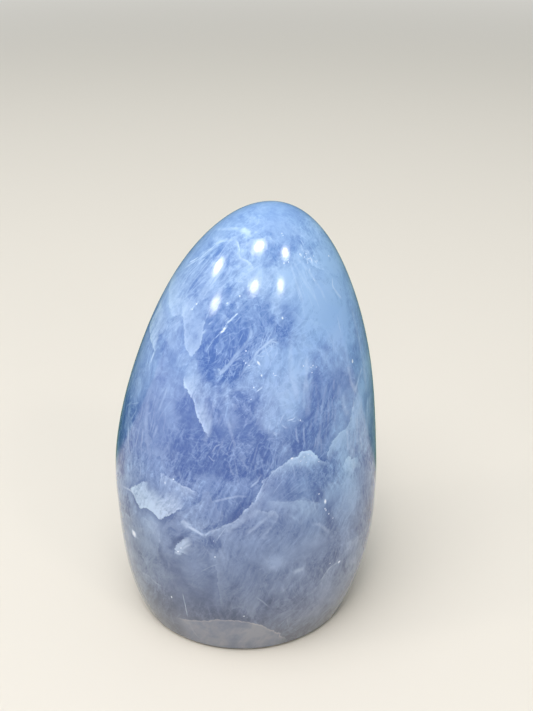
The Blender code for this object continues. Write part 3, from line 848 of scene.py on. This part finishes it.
def calciteMaterial():
    # blue calcite, ground and hand polished: the polish gives sharp small highlights, the cloud a soft inner light
    material = bpy.data.materials.new("handPolishedBlueCalcite")
    material.use_nodes = True
    tree = material.node_tree
    shader = tree.nodes["Principled BSDF"]
    add = partial(addNode, tree)
    soft = {"interpolation_type": "SMOOTHSTEP"}
    look = marksLook
    spot = add("TexCoord", out=3)

    def pushedBy(sizeMm, farMm):
        push = add("TexNoise", spot, named={"Scale": 1 / (sizeMm * mm), "Detail": 2}, out=1)
        push = add("VectorMath", push, (0.5, 0.5, 0.5), operation="SUBTRACT")
        push = add("VectorMath", push, named={"Scale": farMm * mm}, operation="SCALE")
        return add("VectorMath", spot, push, operation="ADD")

    bent, folded = pushedBy(*grain["bentMm"]), pushedBy(*grain["foldedMm"])

    def slanted(source, turn, long, shift=(0, 0, 0)):
        turn = [math.radians(angle) for angle in turn]
        return add("Mapping", named={"Vector": source, "Location": shift, "Rotation": turn, "Scale": (1, 1, long)},
                   vector_type="TEXTURE")

    def speckled(place, wide, detail, rough=0.5):
        return add("TexNoise", place, named={"Scale": 1 / (wide * mm), "Detail": detail, "Roughness": rough})

    regions = []
    for number in range(3):
        where = add("Mapping", named={"Vector": bent, "Location": (0.2 * number, 0.1, 0.3 * number)})
        regions.append(add("MapRange", speckled(where, grain["regionMm"], 2), *grain["regionRange"], **soft))

    # broad patterns and the placed clouds set the tone, fine ones play about it where the stone is lively
    cloud = add("Attribute", attribute_name="cloud", out=2)
    whiteness = add("MULTIPLY_ADD", cloud, grain["cloudWhitens"], grain["white"])
    detail = 0
    patterns = []
    for turn, long, wide, fineDetail, rough, whitens, region in grain["clouds"]:
        pattern = speckled(slanted(folded if wide > 5 else bent, turn, long), wide, fineDetail, rough)
        patterns.append(pattern)
        lift = add("MULTIPLY_ADD", pattern, whitens, -0.5 * whitens)
        if region is not None:
            lift = add("MULTIPLY", lift, regions[region])
        if wide > 3:
            whiteness = add("ADD", whiteness, lift)
        else:
            detail = add("ADD", detail, lift)
    midCloud, smallCloud, wisps, fine = patterns[1], patterns[2], patterns[3], patterns[6]
    hairs = []
    for turn, long, wide, thick, whitens in grain["needles"]:
        away = add("TexVoronoi", slanted(bent, turn, long), named={"Scale": 1 / (wide * mm)})
        hairs.append((away, thick, whitens, regions[len(hairs) % 3]))
    for turn, long, wide, thin, whitens, shift in grain["threads"]:
        away = add("SUBTRACT", speckled(slanted(bent, turn, long, shift), wide, 1.5), 0.5)
        hairs.append((add("ABSOLUTE", away), thin, whitens, regions[len(hairs) % 3]))
    for away, thin, whitens, region in hairs:
        hair = add("MapRange", away, 0, thin, whitens, 0, **soft)
        detail = add("ADD", detail, add("MULTIPLY", hair, region))
    whiteness = add("SMOOTH_MAX", whiteness, *grain["leastWhite"])
    liveliness = add("Attribute", attribute_name="liveliness", out=2)
    whiteness = add("MULTIPLY_ADD", detail, liveliness, whiteness, use_clamp=True)

    # tones by height, with the levels broken up; the darker, greyer base is partly the stone's own tone and partly
    # painted shade from the light above
    rise = add("MULTIPLY", add("SeparateXYZ", folded, out=2), 1 / (stone["Height"] * mm))
    byHeight = {}
    for name in ("clear", "pale", "frost", "flankReflection"):
        ramp = tree.nodes.new("ShaderNodeValToRGB")
        setRamp(ramp, tones["heights"], tones[name])
        tree.links.new(rise, ramp.inputs[0])
        byHeight[name] = ramp.outputs[0]
    color = byHeight["clear"]

    def coat(share, tone, blend="MIX"):
        nonlocal color
        tone = fromHex(tone) if isinstance(tone, str) else tone
        color = add("Mix", named={0: share, 6: color, 7: tone}, data_type="RGBA", blend_type=blend, out=2)

    coat(whiteness, byHeight["pale"])

    # torn veils, wherever their noise is above its middle, but not in the clear deep places
    shallow = add("MULTIPLY_ADD", cloud, 2, 1, use_clamp=True)
    for region, (turn, long, wide, fadeMm, strength, shift) in zip(regions, grain["tornVeils"]):
        field = speckled(slanted(bent, turn, long, shift), wide, 5)
        inside = add("MULTIPLY_ADD", field, grain["tornSteep"] * wide, -grain["tornSteep"] * wide / 2)
        amount = add("MapRange", inside, *grain["tornEdgeMm"], 0, 1, **soft)
        for factor in (add("EXPONENT", add("MULTIPLY", inside, -1 / fadeMm)), region, shallow, liveliness, strength):
            amount = add("MULTIPLY", amount, factor)
        coat(amount, byHeight["frost"])

    # the placed veils, with ragged edges and a faint shade in front of them
    torn = speckled(spot, grain["tornMm"], 3, 0.6)
    steep, middle, tornShare = look["raggedness"]
    ragged = add("MULTIPLY_ADD", torn, tornShare, speckled(spot, grain["raggedMm"], 5, 0.6))
    ragged = add("MULTIPLY_ADD", ragged, steep, middle)
    broken = add("MapRange", speckled(spot, grain["brokenMm"], 3), *grain["brokenRange"], **soft)
    texture, *shares = look["veilGrain"]
    for pattern, share in zip((midCloud, wisps, fine), shares):
        texture = add("MULTIPLY_ADD", pattern, share, texture, use_clamp=pattern is fine)
    for number in range(marks["veilLayers"]):
        layer = add("Attribute", attribute_name=f"veils{number}", out=1)
        depth, strength, bright = add("SeparateXYZ", layer, out=None)
        inside = add("MULTIPLY_ADD", ragged, look["veilRagged"], depth)
        step = add("MapRange", inside, *look["veilEdgeMm"], 0, 1, **soft)
        rim = add("MULTIPLY", add("MapRange", inside, *look["veilRimMm"], 1, 0, **soft), bright)
        amount = add("ADD", texture, add("MULTIPLY", rim, broken))
        amount = add("MULTIPLY", add("MULTIPLY", amount, strength), step)
        shade = add("MapRange", inside, *look["veilShadeMm"], 0, look["veilShade"], **soft)
        shade = add("MULTIPLY", shade, strength)
        coat(add("MULTIPLY", shade, add("SUBTRACT", 1, step)), byHeight["clear"])
        coat(amount, byHeight["frost"])

    # the greyer patch along the base
    depth, strength, bright = add("SeparateXYZ", add("Attribute", attribute_name="basePatch0", out=1), out=None)
    inside = add("MULTIPLY_ADD", ragged, look["patchRagged"], depth)
    step = add("MapRange", inside, *look["patchEdgeMm"], 0, 1, **soft)
    patchy, *shares = look["patchGrain"]
    for pattern, share in zip((wisps, midCloud, smallCloud), shares):
        patchy = add("MULTIPLY_ADD", pattern, share, patchy, use_clamp=pattern is smallCloud)
    dark, light = [fromHex(tone) for tone in tones["basePatch"]]
    mottled = add("Mix", named={0: patchy, 6: dark, 7: light}, data_type="RGBA", out=2)
    rim = add("MapRange", inside, *look["patchRimMm"], 1, 0, **soft)
    for factor in (bright, strength, step, add("MULTIPLY_ADD", broken, *look["patchRimBroken"])):
        rim = add("MULTIPLY", rim, factor)
    coat(add("MULTIPLY", step, strength), mottled)
    coat(rim, tones["patchRim"])

    # painted reflection: the flanks lean to teal, and to a cooler blue high on the right, for the green leaves they
    # mirror
    across = add("SeparateXYZ", folded, out=0)
    for between, tone in (("flankReflectionMm", byHeight["flankReflection"]), ("leftFlankReflectionMm", tones["leftFlankReflection"])):
        coat(add("MapRange", across, *[way * mm for way in tones[between]], **soft), tone, "MULTIPLY")

    # cracks and fibres, then white specks, short grains with a ragged outline
    marked = 0
    for number in range(marks["lineLayers"]):
        layer = add("Attribute", attribute_name=f"lines{number}", out=1)
        away, strength, width = add("SeparateXYZ", layer, out=None)
        away = add("MULTIPLY_ADD", ragged, add("MULTIPLY_ADD", width, *look["lineWobble"]), away)
        core = add("DIVIDE", add("ABSOLUTE", away), width)
        core = add("MapRange", core, *look["lineCore"], 1, 0, **soft)
        marked = add("MAXIMUM", marked, add("MULTIPLY", core, strength, use_clamp=True))
    marked = add("MULTIPLY", marked, add("MULTIPLY_ADD", broken, *look["lineBroken"]), use_clamp=True)
    for x, y, length, width, lean in marks["specks"]:
        off = add("VectorMath", spot, tuple(onStone(x, y)), operation="SUBTRACT")
        off = add("VectorRotate", named={"Vector": off, "Angle": -math.radians(lean)}, rotation_type="Y_AXIS")
        scale = (2 / (width * mm), 2 / (width * mm), 2 / (length * mm))
        off = add("VectorMath", off, scale, operation="MULTIPLY")
        away = add("VectorMath", off, operation="LENGTH", out=1)
        away = add("MULTIPLY_ADD", ragged, look["speckRagged"], away)
        marked = add("MAXIMUM", marked, add("MapRange", away, *look["speckCore"], look["speckStrength"], 0, **soft))
    coat(add("MULTIPLY", marked, look["frosts"], use_clamp=True), byHeight["frost"])
    coat(add("MapRange", marked, *look["whitens"], 0, look["whitest"], **soft), tones["crack"])

    # painted shade darkens the lowest edge, where the stone stands; the sawn base itself is not darkened
    height = add("SeparateXYZ", spot, out=2)
    shadedFoot = add("MapRange", height, *[level * mm for level in tones["contactShadeMm"]], look["darkestContactShade"], 0, **soft)
    coat(add("MULTIPLY", shadedFoot, add("GREATER_THAN", height, polish["cleanBaseMm"] * mm)), tones["contactShade"])
    tree.links.new(color, shader.inputs["Base Color"])

    # a crack takes less polish than the rest, and the sawn base takes none
    sawn = add("LESS_THAN", height, polish["sawnBaseMm"] * mm)
    rough = add("MULTIPLY_ADD", marked, polish["crackRoughness"], polish["roughness"])
    tree.links.new(add("MULTIPLY_ADD", sawn, polish["sawnRoughness"], rough), shader.inputs["Roughness"])
    groove = add("MULTIPLY", marked, -polish["grooveMm"])
    tree.links.new(add("Bump", named={"Distance": mm, "Height": groove}), shader.inputs["Normal"])
    for name, value in (("IOR", polish["ior"]), ("Subsurface Weight", polish["glowWeight"]),
                        ("Subsurface Radius", polish["glowRadiusMm"]), ("Subsurface Scale", mm)):
        shader.inputs[name].default_value = value
    return material


plain = bpy.data.materials.new("plain")
piece = makeStone(plain)
eye = Vector(view["eye"])
skin = BVHTree.FromObject(piece, bpy.context.evaluated_depsgraph_get())
print("stone made", len(piece.data.polygons), "faces")
drawMarks(piece)
calcite = calciteMaterial()
piece.data.materials.clear()
piece.data.materials.append(calcite)
bpy.data.materials.remove(plain)
print("marks drawn")

# Six ceiling lamps, each hung where the polish mirrors it to the camera. A highlight is a pixel, a height, its width
# as a share of that, and its brightness; each has a wider, dimmer halo just behind it.
lamps = {
    "highlights": [(259.8, 246.2, 2.65, 1.45, 1), (285.6, 251.8, 2.1, 1.2, 1), (218.3, 266.1, 1.95, 1.3, 1),
                   (254.6, 286.8, 1.8, 1.5, 0.62), (281, 285.4, 1.75, 1.15, 0.64), (215.9, 304, 1.5, 1.6, 0.58)],
    "distance": 1.6,
    "radius": 0.05,
    "radiance": 14,
    "haloSize": 1.75,
    "haloShare": 0.34,
    "haloBehind": 1.02,
    "tone": "#FFF8F3",
}
studio = {
    "softboxPlace": (-0.25, -0.45, 1.5),
    "softboxAimsAt": (0, 0, 0.05),
    "softboxSize": (1.4, 1.4),
    "softboxWatts": 22,
    "softboxTone": "#F6F8FF",
    "horizon": "#466648",
    "sky": "#D6DEE8",
    "skyFrom": 0.8,
    "skyStrength": 0.75,
    "backdrop": "#F6F4EE",
    "floorTone": "#DCD4C6",
    "floorRoughness": 0.9,
    "floorHalf": 3,
    "sweptFromTo": (0.7, 1.8),
    "flags": [((-0.6, 0), 0.062, "#4A7050"), ((0, 0.6), 0.056, "#6A8870")],  # left and right, how far behind, tone
    "flagHigh": 0.55,
    "flagFoot": "#DCD8CE",
    "flagFadesBy": 0.013,
}


def addLight(name, location, target, size, watts, tone, mirrored=True, lights=True):
    light = bpy.data.lights.new(name, "AREA")
    light.shape = "ELLIPSE"
    light.size, light.size_y = size
    light.energy = watts
    light.color = fromHex(tone)[:3]
    lamp = bpy.data.objects.new(name, light)
    lamp.location = location
    lamp.rotation_euler = (Vector(target) - Vector(location)).to_track_quat("-Z", "Y").to_euler()
    lamp.visible_glossy = mirrored
    lamp.visible_diffuse = lights
    bpy.context.scene.collection.objects.link(lamp)


def hangLamps():
    for number, (x, y, high, wide, bright) in enumerate(lamps["highlights"]):
        ray = pixelRay(x, y)
        spot, normal, face, distance = skin.ray_cast(eye, ray)
        corners = piece.data.polygons[face].vertices
        smooth = sum((piece.data.vertices[corner].normal for corner in corners), Vector()).normalized()
        mirror = ray - 2 * ray.dot(smooth) * smooth
        for part, wider, share, behind in (("core", 1, 1, 1), ("halo", lamps["haloSize"], lamps["haloShare"],
                                                               lamps["haloBehind"])):
            radius = lamps["radius"] * high * wider
            watts = lamps["radiance"] * bright * share * (math.pi * radius) ** 2 * wide
            addLight(f"{part}{number}", spot + mirror * lamps["distance"] * behind, spot,
                     (2 * radius * wide, 2 * radius), watts, lamps["tone"], lights=part == "core")
    print("lamps hung")


def lightStudio():
    addLight("softbox", studio["softboxPlace"], studio["softboxAimsAt"], studio["softboxSize"],
             studio["softboxWatts"], studio["softboxTone"], mirrored=False)
    world = bpy.data.worlds.new("studio")
    bpy.context.scene.world = world
    world.use_nodes = True
    tree = world.node_tree
    add = partial(addNode, tree)
    background = tree.nodes["Background"]
    ramp = tree.nodes.new("ShaderNodeValToRGB")
    setRamp(ramp, (0, studio["skyFrom"]), (studio["horizon"], studio["sky"]))
    tree.links.new(add("SeparateXYZ", add("TexCoord", out=0), out=2), ramp.inputs[0])
    seen = add("LightPath", out=0)
    backdrop = add("Mix", named={0: seen, 6: ramp.outputs[0], 7: fromHex(studio["backdrop"])}, data_type="RGBA", out=2)
    tree.links.new(backdrop, background.inputs[0])
    background.inputs[1].default_value = studio["skyStrength"]
    bpy.context.scene.view_settings.view_transform = "Standard"
    print("studio lit")


def addCard(name, across, along, up, material):
    # a flat card between two ends each way
    corners = [(across[0], along[0], up[0]), (across[1], along[0], up[0]), (across[1], along[1], up[1]),
               (across[0], along[1], up[1])]
    mesh = bpy.data.meshes.new(name)
    mesh.from_pydata(corners, [], [(0, 1, 2, 3)])
    mesh.materials.append(material)
    card = bpy.data.objects.new(name, mesh)
    bpy.context.scene.collection.objects.link(card)
    return card


def matte(name):
    material = bpy.data.materials.new(name)
    material.use_nodes = True
    tree = material.node_tree
    shader = tree.nodes["Principled BSDF"]
    shader.inputs["Specular IOR Level"].default_value = 0
    return material, tree, shader, partial(addNode, tree)


def layFloor():
    paper, tree, shader, add = matte("mattePaper")
    shader.inputs["Roughness"].default_value = studio["floorRoughness"]
    # far from the stone the paper goes over into the backdrop, as a swept studio paper does
    away = add("VectorMath", add("TexCoord", out=3), out=1, operation="LENGTH")
    swept = add("MapRange", away, *studio["sweptFromTo"], interpolation_type="SMOOTHSTEP")
    swept = add("MULTIPLY", swept, add("LightPath", out=0))
    tone = add("Mix", named={0: swept, 6: fromHex(studio["floorTone"]), 7: (0, 0, 0, 1)}, data_type="RGBA", out=2)
    tree.links.new(tone, shader.inputs["Base Color"])
    shader.inputs["Emission Color"].default_value = [c * studio["skyStrength"] for c in fromHex(studio["backdrop"])]
    tree.links.new(swept, shader.inputs["Emission Strength"])
    half = studio["floorHalf"]
    addCard("floor", (-half, half), (-half, half), (0, 0), paper)

    # two green cards behind the stone, which only the polish mirrors, keep its flanks from washing out
    for across, behind, flagTone in studio["flags"]:
        felt, tree, shader, add = matte("greenFelt")
        shader.inputs["Base Color"].default_value = (0, 0, 0, 1)
        shader.inputs["Emission Strength"].default_value = 1
        rise = add("SeparateXYZ", add("TexCoord", out=3), out=2)
        rise = add("MapRange", rise, 0, studio["flagFadesBy"], interpolation_type="SMOOTHSTEP")
        tone = add("Mix", named={0: rise, 6: fromHex(studio["flagFoot"]), 7: fromHex(flagTone)},
                   data_type="RGBA", out=2)
        tree.links.new(tone, shader.inputs["Emission Color"])
        card = addCard("flag", across, (behind, behind), (0, studio["flagHigh"]), felt)
        for rays in ("camera", "diffuse", "shadow", "transmission"):
            setattr(card, "visible_" + rays, False)
    print("floor laid")


hangLamps()
lightStudio()
layFloor()

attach(piece, "root")
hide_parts("blue_calcite")
